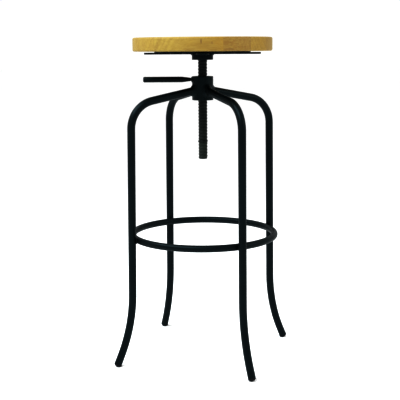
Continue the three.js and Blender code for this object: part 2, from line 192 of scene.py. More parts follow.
def moved(shape, matrix):
    points, faces = shape
    turn = np.array(matrix.to_3x3())
    return points @ turn.T + np.array(matrix.translation), faces


def about_z(angle):
    return Matrix.Rotation(angle, 4, "Z")


LEVER_PLACE = (
    about_z(LEVER_TURN)
    @ Matrix.Translation((0, 0, LEVER_HEIGHT))
    @ Matrix.Rotation(math.pi / 2, 4, "Y")
)


def smooth(mesh, sharp):
    """Smooth shading, with edges kept sharp from this angle in degrees upwards."""
    mesh.polygons.foreach_set("use_smooth", [True] * len(mesh.polygons))
    mesh.set_sharp_from_angle(angle=math.radians(sharp))


def add_shape(work, shape):
    """Adds a shape's points and faces to a mesh being worked on."""
    points, faces = shape
    corners = [work.verts.new(p) for p in points]
    for face in faces:
        work.faces.new([corners[i] for i in face])


def everything(work):
    return work.verts[:] + work.edges[:] + work.faces[:]


def only(items, kind):
    return [item for item in items if isinstance(item, kind)]


def finished(work, name, sharp):
    """The mesh of what was worked on, with faces pointing out."""
    bmesh.ops.recalc_face_normals(work, faces=work.faces)
    mesh = bpy.data.meshes.new(name)
    work.to_mesh(mesh)
    work.free()
    smooth(mesh, sharp)
    return mesh


def mesh_of(name, shapes, sharp=32):
    """One mesh of one or more shapes, with shared points merged."""
    work = bmesh.new()
    for shape in shapes:
        add_shape(work, shape)
    bmesh.ops.remove_doubles(work, verts=work.verts, dist=1e-7)
    return finished(work, name, sharp)


def add_to_scene(item):
    bpy.context.scene.collection.objects.link(item)


def show(name, mesh, finish, body, replaces=(), place=None):
    """A shown piece: its mesh, its material, the body it rides on and the nodes it stands for."""
    material, slot = finish
    if place is not None:
        mesh = mesh.copy()
        mesh.transform(place)
    piece = bpy.data.objects.new(name, mesh)
    add_to_scene(piece)
    mesh.materials.clear()
    mesh.materials.append(material)
    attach(piece, body)
    if replaces:
        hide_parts(*replaces)


def evaluated_mesh(item):
    """A new mesh of an object as it stands, with its modifiers or its curve's body."""
    return bpy.data.meshes.new_from_object(item.evaluated_get(bpy.context.evaluated_depsgraph_get()))


def without(mesh, cutter_mesh, sharp=32):
    """The mesh with another mesh cut away from it."""
    target = bpy.data.objects.new("cut_target", mesh)
    cutter = bpy.data.objects.new("cut_tool", cutter_mesh)
    for item in (target, cutter):
        add_to_scene(item)
    cut = target.modifiers.new("cut", "BOOLEAN")
    cut.object = cutter
    cut.operation = "DIFFERENCE"
    cut.solver = "EXACT"
    result = evaluated_mesh(target)
    result.name = mesh.name + "_cut"
    for item in (target, cutter):
        bpy.data.objects.remove(item)
    smooth(result, sharp)
    return result


def flat_plate(name, outlines, bottom, top, edge):
    """A flat plate from an outline and its holes, with rounded edges."""
    sheet = bpy.data.curves.new(name, "CURVE")
    sheet.dimensions = "2D"
    sheet.fill_mode = "BOTH"
    sheet.extrude = (top - bottom) / 2 - edge
    sheet.bevel_depth = edge
    sheet.bevel_resolution = 2
    sheet.offset = -edge
    for outline in outlines:
        line = sheet.splines.new("POLY")
        line.points.add(len(outline) - 1)
        for point, (x, y) in zip(line.points, outline):
            point.co = (x, y, 0, 1)
        line.use_cyclic_u = True
    holder = bpy.data.objects.new(name, sheet)
    add_to_scene(holder)
    mesh = evaluated_mesh(holder)
    bpy.data.objects.remove(holder)
    work = bmesh.new()
    work.from_mesh(mesh)
    bmesh.ops.remove_doubles(work, verts=work.verts, dist=2e-6)
    bmesh.ops.translate(work, verts=work.verts, vec=(0, 0, (top + bottom) / 2))
    mesh = finished(work, name, 50)
    for face in mesh.polygons:
        face.use_smooth = abs(face.normal.z) < 0.999
    return mesh


def circle(radius, sides, x=0.0, y=0.0):
    return [(x + radius * math.cos(a), y + radius * math.sin(a)) for a in ring_angles(sides)]


# -------------------- screw threads


def helix_skin(profile, pitch, bottom, top, sides):
    """The skin of a right-hand thread, a little past both heights.

    The profile is the (height, radius) points of one pitch, from 0 up to but not including the pitch.
    """
    first = math.floor(bottom / pitch) - 2
    last = math.ceil(top / pitch) + 1
    steps = (last - first) * sides
    count = len(profile)
    step = np.arange(steps + 1)
    angle = step * 2 * math.pi / sides
    rise = first * pitch + step * pitch / sides
    rings = [
        np.stack([r * np.cos(angle), r * np.sin(angle), rise + z], 1) for z, r in profile
    ]
    points = np.stack(rings, 1).reshape(-1, 3)
    faces = []
    for i in range(steps):
        for k in range(count):
            if k + 1 < count:
                up, up_next = i * count + k + 1, (i + 1) * count + k + 1
            elif i + 1 + sides <= steps:
                up, up_next = (i + sides) * count, (i + 1 + sides) * count
            else:
                continue
            faces.append((i * count + k, (i + 1) * count + k, up_next, up))
    return points, faces


def trapezoid(pitch, crest, root):
    """One pitch of a trapezoidal thread with eased corners. Crest and root are each a flat."""
    flat = 0.36
    flank = (0.5 - flat) * pitch
    ease = 0.12 * (crest - root)
    half = flat * pitch
    return [
        (0.0, root),
        (half, root),
        (half + 0.06 * flank, root + ease * 0.5),
        (half + flank * 0.9, crest - ease),
        (half + flank, crest),
        (2 * half + flank, crest),
        (2 * half + flank * 1.1, crest - ease),
        (2 * half + flank * 1.94, root + ease * 0.5),
    ]


def cut_between(work, bottom, top):
    """Cuts an open skin flat at both heights, and returns the edges of the two openings."""
    loops = []
    for height, normal in ((bottom, (0, 0, -1)), (top, (0, 0, 1))):
        found = bmesh.ops.bisect_plane(
            work, geom=everything(work), dist=1e-7, plane_co=(0, 0, height), plane_no=normal,
            clear_outer=True,
        )
        loops.append(only(found["geom_cut"], EDGE))
    return loops


def split_at(work, heights):
    """Adds a line of points all round at each height."""
    for height in heights:
        bmesh.ops.bisect_plane(
            work, geom=everything(work), dist=1e-7, plane_co=(0, 0, height), plane_no=(0, 0, 1)
        )


def close_end(work, edges, steps):
    """Carries a round opening on through copies of its edge: (radius, rise) each, 0 to close it."""
    rim = [e for e in edges if e.is_valid]
    height = rim[0].verts[0].co.z
    for radius, rise in steps:
        made = bmesh.ops.extrude_edge_only(work, edges=rim)["geom"]
        for vert in only(made, VERT):
            flat = Vector((vert.co.x, vert.co.y)).normalized() * radius
            vert.co = (flat.x, flat.y, height + rise)
        rim = only(made, EDGE)


def trim(work, limit, bottom, hair):
    """Pulls the points between a limit's heights in to its radius. A limit that starts at the rod's
    bottom takes in the points there too."""
    low, high, at_low, at_high = limit
    from_bottom = low - bottom < hair
    for vert in work.verts:
        inside = low + hair / 2 < vert.co.z < high - hair / 2
        if not inside and not (from_bottom and abs(vert.co.z - bottom) < hair):
            continue
        most = at_low + (at_high - at_low) * (vert.co.z - low) / (high - low)
        flat = Vector((vert.co.x, vert.co.y))
        if flat.length > most:
            flat *= most / flat.length
            vert.co.x, vert.co.y = flat


def threaded_rod(name, pitch, crest, root, bottom, top, sides, limits=(), low_end=((0, 0),)):
    """A threaded rod along Z, flat at the top, with its lower end made of (radius, rise) steps.

    Each limit is (low, high, radius at low, radius at high): no point between those heights stands
    further out.
    """
    hair = 0.01 * MM
    work = bmesh.new()
    add_shape(work, helix_skin(trapezoid(pitch, crest, root), pitch, bottom, top, sides))
    low_rim, high_rim = cut_between(work, bottom, top)
    for low, high, _, _ in limits:
        split_at(work, (low, low + hair, high - hair, high))
    for limit in limits:
        trim(work, limit, bottom, hair)
    close_end(work, low_rim, low_end)
    close_end(work, high_rim, ((0, 0),))
    bmesh.ops.remove_doubles(work, verts=work.verts, dist=1e-6)
    bmesh.ops.dissolve_degenerate(work, dist=1e-7, edges=work.edges)
    return finished(work, name, 28)


# -------------------- weld beads


class RoundBar:
    """A round surface that a weld lies on, between two distances along its axis if they are given."""

    def __init__(self, point, direction, radius, reach=None):
        self.point = np.array(point, float)
        self.direction = np.array(direction, float) / np.linalg.norm(direction)
        self.radius = radius
        self.reach = reach

    def split(self, points):
        along = (points - self.point) @ self.direction
        out = points - self.point - along[:, None] * self.direction
        return along, out / np.linalg.norm(out, axis=1)[:, None]

    def normal(self, points):
        return self.split(points)[1]

    def onto(self, points, sink):
        along, out = self.split(points)
        if self.reach:
            along = np.clip(along, *self.reach)
        return self.point + along[:, None] * self.direction + out * (self.radius - sink)


class FlatFace:
    """A flat surface that a weld lies on."""

    def __init__(self, point, normal):
        self.point = np.array(point, float)
        self.way = np.array(normal, float)

    def normal(self, points):
        return np.broadcast_to(self.way, points.shape)

    def onto(self, points, sink):
        away = (points - self.point) @ self.way
        return points - (away + sink)[:, None] * self.way


def fillet_bead(corner, first, second, leg, ripples, bulge, closed=True):
    """A fillet weld along the corner between two surfaces, with the overlapping ripples of its
    puddles. A bead that isn't closed runs out to nothing at both ends."""
    across = np.linspace(0, 1, 9)
    along = np.linspace(0, 1, len(corner), endpoint=not closed)
    size = np.full(len(corner), leg)
    if not closed:
        size = leg * np.sqrt(np.clip(1 - np.abs(2 * along - 1) ** 6, 0.002, 1))
    n1, n2 = first.normal(corner), second.normal(corner)
    lean = np.sum(n1 * n2, 1)[:, None]
    way1 = n2 - lean * n1
    way2 = n1 - lean * n2
    way1 /= np.linalg.norm(way1, axis=1)[:, None]
    way2 /= np.linalg.norm(way2, axis=1)[:, None]
    out = n1 + n2
    out /= np.linalg.norm(out, axis=1)[:, None]
    toe1 = first.onto(corner + way1 * size[:, None], WELD_SINK)
    toe2 = second.onto(corner + way2 * size[:, None], WELD_SINK)
    rows = []
    for t in across:
        crown = 4 * t * (1 - t)
        puddle = (along * ripples - PUDDLE_LAG * crown) % 1.0
        swell = 1 - (2 * puddle - 1) ** 2
        lift = crown * size * (bulge + WELD_RIPPLE * swell)
        rows.append(toe1 * (1 - t) + toe2 * t + out * lift[:, None])
    rows.append(corner - out * WELD_ROOT)
    return surface(np.stack(rows, 1), closed)


# -------------------- materials


class Finish:
    """A material and short calls for its nodes."""

    def __init__(self, name, **sockets):
        self.material = bpy.data.materials.new(name)
        self.material.use_nodes = True
        self.tree = self.material.node_tree
        self.shader = self.tree.nodes["Principled BSDF"]
        for socket, value in sockets.items():
            self.shader.inputs[socket.replace("_", " ")].default_value = value
        self.place = self.add("ShaderNodeTexCoord").outputs["Object"]

    def add(self, kind, inputs=(), **settings):
        node = self.tree.nodes.new(kind)
        for key, value in settings.items():
            setattr(node, key, value)
        for key, value in dict(inputs).items():
            if isinstance(value, bpy.types.NodeSocket):
                self.tree.links.new(value, node.inputs[key])
            else:
                node.inputs[key].default_value = value
        return node

    def link(self, value, socket):
        self.tree.links.new(value, self.shader.inputs[socket])

    def math(self, operation, *values):
        return self.add("ShaderNodeMath", enumerate(values), operation=operation).outputs[0]

    def noise(self, scale, detail, place=None, roughness=0.5):
        inputs = {
            "Vector": place or self.place, "Scale": scale, "Detail": detail, "Roughness": roughness,
        }
        return self.add("ShaderNodeTexNoise", inputs).outputs["Fac"]

    def spread(self, value, low, high, to_low=0.0, to_high=1.0):
        """A value's range from low to high, stretched to another range and held inside it."""
        inputs = {"Value": value, "From Min": low, "From Max": high, "To Min": to_low, "To Max": to_high}
        return self.add("ShaderNodeMapRange", inputs).outputs[0]

    def mix(self, share, first, second):
        inputs = {0: share, 6: first, 7: second}
        return self.add("ShaderNodeMix", inputs, data_type="RGBA").outputs[2]

    def bump(self, height, distance, strength):
        inputs = {"Height": height, "Distance": distance, "Strength": strength}
        self.link(self.add("ShaderNodeBump", inputs).outputs[0], "Normal")

    def plus(self, a, b):
        return self.math("ADD", a, b)

    def minus(self, a, b):
        return self.math("SUBTRACT", a, b)

    def times(self, a, b):
        return self.math("MULTIPLY", a, b)

    def root_of_squares(self, a, b):
        return self.math("SQRT", self.plus(self.times(a, a), self.times(b, b)))

    def vary_roughness(self, scale, detail, low, high):
        self.link(self.spread(self.noise(scale, detail), 0.3, 0.7, low, high), "Roughness")

    def axes(self, place=None):
        return self.add("ShaderNodeSeparateXYZ", {0: place or self.place}).outputs

    def vector(self, x, y, z):
        return self.add("ShaderNodeCombineXYZ", {0: x, 1: y, 2: z}).outputs[0]

    def scaled(self, vector, by):
        """The vector's three values, each times its own factor."""
        return self.vector(*[self.times(part, factor) for part, factor in zip(vector, by)])


def powder_coat(name, tint):
    """Satin black powder coat: a fine orange peel, slight shifts in shade and gloss."""
    finish = Finish(name, Roughness=0.45, Specular_IOR_Level=0.3, Specular_Tint=(0.7, 0.95, 1.0, 1))
    cloud = finish.noise(18.0, 3.0)
    peel = finish.noise(1300.0, 2.0)
    grit = finish.noise(4200.0, 1.0)
    dark = tuple(0.75 * c for c in tint) + (1,)
    light = tuple(1.35 * c for c in tint) + (1,)
    finish.link(finish.mix(finish.spread(cloud, 0.3, 0.7), dark, light), "Base Color")
    finish.vary_roughness(55.0, 4.0, 0.4, 0.5)
    height = finish.plus(peel, finish.times(grit, 0.35))
    finish.bump(height, 0.03 * MM, 0.5)
    return finish.material


def blackened_steel(name, base, lighter, worn_from, worn_to):
    """Dark screw steel: rubbed brighter on the crests and greyer towards its lower end."""
    finish = Finish(name, Roughness=0.4, Specular_IOR_Level=0.25)
    x, y, z = finish.axes()
    worn = finish.spread(finish.root_of_squares(x, y), worn_from, worn_to)
    crest = finish.times(worn, finish.spread(finish.noise(420.0, 5.0), 0.35, 0.75))
    low = finish.spread(z, GROOVE_HEIGHT + 3 * MM, GROOVE_HEIGHT - 3 * MM)
    shade = finish.mix(low, base, lighter)
    bright = finish.mix(0.25, shade, (0.1, 0.1, 0.085, 1))
    finish.link(finish.mix(crest, shade, bright), "Base Color")
    finish.vary_roughness(160.0, 4.0, 0.32, 0.55)
    finish.bump(finish.noise(2400.0, 3.0), 0.02 * MM, 0.4)
    return finish.material


def plain_steel(name, colour, roughness, metallic=0.9):
    """Bare or plated steel with fine turning marks and small stains."""
    finish = Finish(name, Metallic=metallic, Roughness=roughness)
    stains = finish.noise(240.0, 4.0)
    dull = tuple(0.6 * c for c in colour[:3]) + (1,)
    finish.link(finish.mix(finish.spread(stains, 0.4, 0.8), colour, dull), "Base Color")
    finish.vary_roughness(700.0, 3.0, roughness - 0.08, roughness + 0.12)
    finish.bump(finish.noise(3000.0, 2.0), 0.01 * MM, 0.3)
    return finish.material


def moulded_plastic(name, colour, scuff):
    """Moulded plastic with a fine spark texture, scuffed pale near the floor."""
    finish = Finish(name, Roughness=0.55, Specular_IOR_Level=0.3)
    _, _, z = finish.axes()
    low = finish.spread(z, 4 * MM, 0.0)
    marks = finish.times(finish.spread(finish.noise(900.0, 5.0), 0.5, 0.75), low)
    finish.link(finish.mix(marks, colour, scuff), "Base Color")
    finish.vary_roughness(300.0, 3.0, 0.48, 0.66)
    finish.bump(finish.noise(2600.0, 2.0), 0.04 * MM, 0.5)
    return finish.material


STAVE_WIDTH = 45 * MM
STAVE_OFFSET = 125 * MM  # a glue line runs this far in front of the seat's middle
BLOCK_LENGTH = 330 * MM
FRONT_JOINT = 46 * MM  # where the front stave's butt joint lies
SEAT_TOP = 774 * MM
# Bark pockets in the front edge: place along it, depth below the top, half width, half height, strength.
FLECKS = (
    (-3 * MM, 10 * MM, 1.5 * MM, 6 * MM, 0.75),
    (21 * MM, 13 * MM, 2.2 * MM, 4 * MM, 0.3),
    (-77 * MM, 22 * MM, 1.2 * MM, 6 * MM, 0.2),
    (-89 * MM, 21 * MM, 1.4 * MM, 5 * MM, 0.16),
    (60 * MM, 27 * MM, 12 * MM, 1.6 * MM, 0.4),
)
# The blocks' colours, from the brownest to the palest, with the place of each in the ramp.
BLOCK_COLOURS = (
    (0.0, (0.292, 0.186, 0.055, 1)), (0.35, (0.369, 0.258, 0.073, 1)),
    (0.7, (0.364, 0.281, 0.079, 1)), (1.0, (0.348, 0.265, 0.093, 1)),
)
END_WOOD = (0.353, 0.215, 0.044, 1)
PATCH_WOOD = (0.309, 0.212, 0.063, 1)
RING_WOOD = (0.245, 0.155, 0.048, 1)
FIBRE_WOOD = (0.431, 0.343, 0.111, 1)
PORE_WOOD = (0.272, 0.173, 0.063, 1)
BARK = (0.182, 0.104, 0.048, 1)
GLUE = (0.230, 0.145, 0.059, 1)


def block_ramp(finish, pick):
    """A block's own colour from its random pick."""
    node = finish.add("ShaderNodeValToRGB", {0: pick})
    stops = node.color_ramp.elements
    stops[0].color, stops[-1].color = BLOCK_COLOURS[0][1], BLOCK_COLOURS[-1][1]
    for position, colour in BLOCK_COLOURS[1:-1]:
        stops.new(position).color = colour
    return node.outputs[0]


def with_flecks(finish, shade, x, y, z):
    """The wood's shade with its bark pockets, on the front edge only."""
    ragged = finish.times(finish.minus(finish.noise(500.0, 2.0), 0.5), 0.9)
    front = finish.math("LESS_THAN", y, -0.15)
    for place, depth, half_width, half_height, strength in FLECKS:
        sideways = finish.math("DIVIDE", finish.minus(x, place), half_width)
        upwards = finish.math("DIVIDE", finish.minus(z, SEAT_TOP - depth), half_height)
        square = finish.plus(finish.times(sideways, sideways), finish.times(upwards, upwards))
        near = finish.spread(finish.plus(square, ragged), 1.2, 0.3, 0.0, strength)
        shade = finish.mix(finish.times(near, front), shade, BARK)
    return shade


def line_beside(finish, value, width):
    """A thin line wherever a value passes a whole number."""
    part = finish.math("FRACT", finish.plus(value, 0.5))
    beside = finish.math("ABSOLUTE", finish.minus(part, 0.5))
    return finish.spread(beside, width, 0.4 * width)


def seat_wood():
    """Edge-glued staves of honey-coloured hardwood, butt-jointed from blocks, under satin lacquer."""
    finish = Finish(
        "seat_wood", Roughness=0.48, Specular_IOR_Level=0.35, Coat_Weight=0.05, Coat_Roughness=0.3)
    # The seat's own axes: X along the grain.
    turn = {"Vector": finish.place, "Angle": -SEAT_TURN}
    own = finish.add("ShaderNodeVectorRotate", turn, rotation_type="Z_AXIS")
    x, y, z = finish.axes(own.outputs[0])
    across = finish.math("DIVIDE", finish.plus(y, STAVE_OFFSET), STAVE_WIDTH)
    stave = finish.math("FLOOR", across)
    # Each stave's joints are shifted by a share of a block; the front stave is number -1.
    share = finish.math("FRACT", finish.times(finish.plus(stave, 1.0), 0.618))
    start = finish.minus(x, FRONT_JOINT)
    lengths = finish.plus(finish.math("DIVIDE", start, BLOCK_LENGTH), share)
    block = finish.math("FLOOR", lengths)
    along = finish.math("FRACT", lengths)
    seed = finish.plus(finish.times(stave, 7.31), finish.times(block, 3.17))
    random = finish.add("ShaderNodeTexWhiteNoise", {"W": seed}, noise_dimensions="1D").outputs
    drift = finish.axes(random["Color"])
    # In the front stave the pick isn't random: brown right of its joint, pale left of it.
    front = finish.math("COMPARE", stave, -1.0, 0.5)
    not_front = finish.minus(1.0, front)
    other = finish.times(not_front, random["Value"])
    left_front = finish.times(front, finish.math("LESS_THAN", x, FRONT_JOINT))
    pick = finish.plus(other, finish.times(left_front, 0.72))

    # Growth rings round a heart that lies off each block, and fibres along it.
    wander = finish.noise(9.0, 2.0, finish.vector(x, finish.times(pick, 3.0), 0.0))
    wavy = finish.times(finish.minus(wander, 0.5), 0.02)
    heart_y = finish.plus(y, finish.spread(drift[0], 0.0, 1.0, -0.06, 0.06))
    heart_z = finish.plus(z, finish.spread(drift[1], 0.0, 1.0, -0.82, -0.70))
    from_heart = finish.root_of_squares(heart_y, finish.plus(heart_z, wavy))
    slow_x = finish.times(x, 0.008)
    rings = finish.noise(260.0, 2.0, finish.vector(from_heart, finish.times(seed, 0.1), slow_x))
    stretched = finish.vector(
        finish.times(x, 9.0), finish.plus(finish.times(y, 260.0), seed),
        finish.times(z, 260.0),
    )
    fibres = finish.noise(1.0, 5.0, stretched, 0.6)
    pores = finish.noise(1.0, 2.0, finish.scaled((x, y, z), (90.0, 2600.0, 2600.0)))
    patches = finish.noise(1.0, 3.0, finish.scaled((x, y, z), (28.0, 70.0, 70.0)))

    shade = block_ramp(finish, pick)
    # A block's colour deepens towards its end. Then each figure in turn: its range and its most.
    for figure, low, high, most, colour in (
        (along, 0.58, 1.0, 0.75, END_WOOD),
        (patches, 0.4, 0.7, 0.5, PATCH_WOOD),
        (rings, 0.42, 0.72, 0.5, RING_WOOD),
        (fibres, 0.38, 0.7, 0.45, FIBRE_WOOD),
        (pores, 0.62, 0.8, 0.25, PORE_WOOD),
    ):
        shade = finish.mix(finish.spread(figure, low, high, 0.0, most), shade, colour)
    shade = with_flecks(finish, shade, x, y, z)

    # Glue lines between staves and at the butt joints.
    glue = finish.math("MAXIMUM", line_beside(finish, across, 0.006), line_beside(finish, lengths, 0.0008))
    shade = finish.mix(finish.times(glue, 0.4), shade, GLUE)
    finish.link(shade, "Base Color")
    finish.link(finish.spread(fibres, 0.3, 0.7, 0.4, 0.55), "Roughness")
    hollows = finish.plus(finish.times(pores, 0.3), glue)
    relief = finish.minus(finish.times(fibres, 0.4), hollows)
    finish.bump(relief, 0.05 * MM, 0.35)
    return finish.material


# Each finish is a material and its slot in the record.
FRAME_BLACK = (powder_coat("frame_powder_coat", (0.0025, 0.006, 0.0075)), "frame_steel")
LEVER_BLACK = (powder_coat("lever_powder_coat", (0.002, 0.0045, 0.0055)), "lever_steel")
SPINDLE_STEEL = (
    blackened_steel(
        "spindle_steel", (0.012, 0.017, 0.015, 1), (0.024, 0.033, 0.027, 1),
        SPINDLE_RADIUS - 0.5 * MM, SPINDLE_RADIUS),
    "spindle_steel",
)
NUT_STEEL = (plain_steel("nut_steel", (0.2, 0.2, 0.195, 1), 0.4), "nut_steel")
SCREW_BLACK = (plain_steel("screw_black", (0.03, 0.03, 0.03, 1), 0.42, 0.6), "screw_steel")
GLIDE_BLACK = (
    moulded_plastic("glide_plastic", (0.007, 0.010, 0.012, 1), (0.07, 0.07, 0.07, 1)), "glide_plastic")
PAD_NYLON = moulded_plastic("pad_nylon", (0.62, 0.58, 0.48, 1), (0.5, 0.46, 0.38, 1))
WOOD = (seat_wood(), "seat_wood")

# -------------------- legs, footrest and glides

LEG_SIDES = 48


def bent_rod(x, z, heading, runs):
    """Stations (x, z, heading) along straight and bent runs: (length, bend radius, turn, steps)."""
    stations = [(x, z, heading)]
    for length, radius, turn, steps in runs:
        x0, z0, h0 = stations[-1]
        for i in range(1, steps + 1):
            share = i / steps
            if turn == 0:
                stations.append((x0 + length * share * math.cos(h0), z0 + length * share * math.sin(h0), h0))
                continue
            side = math.copysign(radius, turn)
            h = h0 + turn * share
            stations.append((
                x0 + side * (math.sin(h) - math.sin(h0)),
                z0 - side * (math.cos(h) - math.cos(h0)),
                h,
            ))
    return stations


def leg_stations():
    """A leg's centreline in its own upright plane: arm, shoulder bend, upright, flare and foot."""
    fall, lean = math.tan(ARM_SLOPE), math.tan(LEG_LEAN)
    corner = (LEG_REACH - (ARM_HEIGHT - FOOTREST_HEIGHT) * lean) / (1 - fall * lean)
    corner_height = ARM_HEIGHT - corner * fall
    shoulder = math.pi / 2 - ARM_SLOPE - LEG_LEAN
    tangent = SHOULDER_RADIUS * math.tan(shoulder / 2)
    drop = FLARE_RADIUS * (math.sin(FOOT_ANGLE) - math.sin(LEG_LEAN)) + FOOT_STRAIGHT * math.cos(FOOT_ANGLE)
    start = HUB_RADIUS / 2
    return bent_rod(start, ARM_HEIGHT - start * fall, -ARM_SLOPE, [
        ((corner - start) / math.cos(ARM_SLOPE) - tangent, 0, 0, 12),
        (0, SHOULDER_RADIUS, -shoulder, 32),
        ((corner_height - TUBE_END_HEIGHT - drop) / math.cos(LEG_LEAN) - tangent, 0, 0, 30),
        (0, FLARE_RADIUS, FOOT_ANGLE - LEG_LEAN, 22),
        (FOOT_STRAIGHT, 0, 0, 3),
    ])


def section(station, radius, sides):
    x, z, heading = station
    angles = ring_angles(sides)
    side = radius * np.sin(angles)
    return np.stack([
        x - side * math.sin(heading),
        radius * np.cos(angles),
        z + side * math.cos(heading),
    ], 1)


def saddled(points, slope, reach):
    """The points slid along the arm until they lie on the hub's round side."""
    way = np.array([math.cos(slope), 0, -math.sin(slope)])
    a = way[0] ** 2
    b = 2 * points[:, 0] * way[0]
    c = points[:, 0] ** 2 + points[:, 1] ** 2 - reach ** 2
    slide = (-b + np.sqrt(b * b - 4 * a * c)) / (2 * a)
    return points + slide[:, None] * way


def leg_shape():
    stations = leg_stations()
    outside, inside = [], []
    for radius, rows in ((TUBE_RADIUS, outside), (TUBE_RADIUS - TUBE_WALL, inside)):
        rows.append(saddled(section(stations[0], radius, LEG_SIDES), ARM_SLOPE, HUB_RADIUS + 0.02 * MM))
        clear = HUB_RADIUS + 6 * MM
        rows.extend(section(s, radius, LEG_SIDES) for s in stations[1:] if s[0] > clear)
    # The cut end's outer edge is eased where the saw burr was filed off.
    ease = 0.3 * MM
    x, z, heading = stations[-1]
    back = (x - ease * math.cos(heading), z - ease * math.sin(heading), heading)
    outside[-1] = section(back, TUBE_RADIUS, LEG_SIDES)
    outside.append(section(stations[-1], TUBE_RADIUS - ease, LEG_SIDES))
    return surface(outside + inside[::-1], closed=True)


def glide_shape():
    """The moulded glide plugged into the leg: dome, head, and a ribbed stem."""
    x, z, _ = leg_stations()[-1]
    rim = math.asin(GLIDE_HEAD_RADIUS / GLIDE_DOME_RADIUS)
    outline = [
        (GLIDE_DOME_RADIUS * math.sin(a), GLIDE_CENTRE_DEPTH - GLIDE_DOME_RADIUS * math.cos(a))
        for a in np.linspace(0, rim - 0.03, 16)
    ]
    edge = 0.25 * MM
    outline += arc(GLIDE_HEAD_RADIUS - edge, -GLIDE_HEAD, edge, -20, 0, 2)
    outline += arc(GLIDE_HEAD_RADIUS - edge, -GAP - edge, edge, 0, 90, 3)
    outline.append((GLIDE_STEM_RADIUS, -GAP))
    for rib in range(3):
        low = (3 + 4 * rib) * MM
        outline += [
            (GLIDE_STEM_RADIUS - 0.5 * MM, low),
            (GLIDE_STEM_RADIUS + 0.2 * MM, low + 1.2 * MM),
            (GLIDE_STEM_RADIUS - 0.5 * MM, low + 2.4 * MM),
        ]
    outline += [(GLIDE_STEM_RADIUS - 1 * MM, GLIDE_STEM), (0, GLIDE_STEM)]
    place = Matrix.Translation((x, 0, z)) @ Matrix.Rotation(-FOOT_ANGLE, 4, "Y")
    return moved(turned(outline, 40), place)


def flattened(mesh):
    """Cuts a glide off flat where it stands on the floor."""
    work = bmesh.new()
    work.from_mesh(mesh)
    cut = bmesh.ops.bisect_plane(
        work, geom=everything(work), dist=1e-7, plane_co=(0, 0, 0), plane_no=(0, 0, -1),
        clear_outer=True,
    )
    bmesh.ops.contextual_create(work, geom=only(cut["geom_cut"], EDGE))
    return finished(work, mesh.name + "_flattened", 32)


def arm_weld():
    """The fillet weld where an arm meets the hub."""
    start = leg_stations()[0]
    corner = saddled(section(start, TUBE_RADIUS, 216), ARM_SLOPE, HUB_RADIUS)
    low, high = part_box("hub_sleeve")
    hub = RoundBar((0, 0, 0), (0, 0, 1), HUB_RADIUS, (low.z + 1 * MM, high.z - 1 * MM))
    arm = RoundBar((start[0], 0, start[1]), (math.cos(ARM_SLOPE), 0, -math.sin(ARM_SLOPE)), TUBE_RADIUS)
    return fillet_bead(corner, hub, arm, ARM_WELD, ripples=30, bulge=-0.08)


def footrest_weld():
    """The bead all round the spot where the ring touches a leg."""
    steps, ripples, sides = 120, 14, 14
    reach, thickness, ripple_height = 5.2 * MM, 0.75 * MM, 0.22 * MM
    angles = ring_angles(steps)
    aside, above = reach * np.cos(angles), reach * np.sin(angles)
    leg_back = TUBE_RADIUS - np.sqrt(TUBE_RADIUS ** 2 - aside ** 2)
    ring_back = FOOTREST_TUBE_RADIUS - np.sqrt(FOOTREST_TUBE_RADIUS ** 2 - above ** 2)
    contact = FOOTREST_RADIUS + FOOTREST_TUBE_RADIUS + GAP / 2
    middle = contact + (leg_back - ring_back) / 2
    centre = np.stack([middle, aside, FOOTREST_HEIGHT + above], 1)
    out = np.stack([np.zeros(steps), np.cos(angles), np.sin(angles)], 1)
    rows = []
    for turn in ring_angles(sides):
        puddle = (angles / (2 * math.pi) * ripples - 0.3 * math.cos(turn)) % 1.0
        swell = 1 - (2 * puddle - 1) ** 2
        radius = (leg_back + ring_back + GAP) / 2 + thickness + ripple_height * swell
        row = centre + out * (radius * math.cos(turn))[:, None]
        row[:, 0] += radius * math.sin(turn)
        rows.append(row)
    return surface(np.stack(rows, 1), closed=True)


def footrest_shape():
    """The ring, one bent tube whose butt joint shows as a low dressed weld."""
    turns, sides = 240, 40
    rows = []
    joint = 3 * MM / FOOTREST_RADIUS
    for angle in FOOTREST_SEAM + ring_angles(turns):
        rows.append((angle, FOOTREST_TUBE_RADIUS))
    for step in np.linspace(-1, 1, 13)[1:-1]:
        rows.append((FOOTREST_SEAM + step * joint, FOOTREST_TUBE_RADIUS + 0.22 * MM * (1 - step ** 2)))
    rows = sorted(((a - FOOTREST_SEAM) % (2 * math.pi), r) for a, r in rows)
    around = ring_angles(sides)
    rings = []
    for angle, radius in rows:
        reach = FOOTREST_RADIUS + radius * np.cos(around)
        height = FOOTREST_HEIGHT + radius * np.sin(around)
        turn = angle + FOOTREST_SEAM
        rings.append(np.stack([reach * math.cos(turn), reach * math.sin(turn), height], 1))
    return surface(rings, closed=True)


def build_legs():
    leg = mesh_of("leg", [leg_shape()])
    glide = flattened(mesh_of("glide", [glide_shape()]))
    weld = mesh_of("arm_weld", [arm_weld()], 60)
    ring_weld = mesh_of("footrest_weld", [footrest_weld()], 60)
    for place, angle in LEG_ANGLES.items():
        turn = about_z(math.radians(angle))
        show(f"leg_tube_{place}", leg, FRAME_BLACK, "frame", [f"leg_{place}"], turn)
        show(f"foot_glide_{place}", glide, GLIDE_BLACK, "frame", [f"glide_{place}"], turn)
        show(f"hub_weld_{place}", weld, FRAME_BLACK, "frame", place=turn)
        show(f"footrest_weld_{place}", ring_weld, FRAME_BLACK, "frame", place=turn)


def build_footrest():
    mesh = mesh_of("footrest", [footrest_shape()])
    show("footrest_tube", mesh, FRAME_BLACK, "frame", ["footrest_ring"])


# -------------------- hub and clamp lever


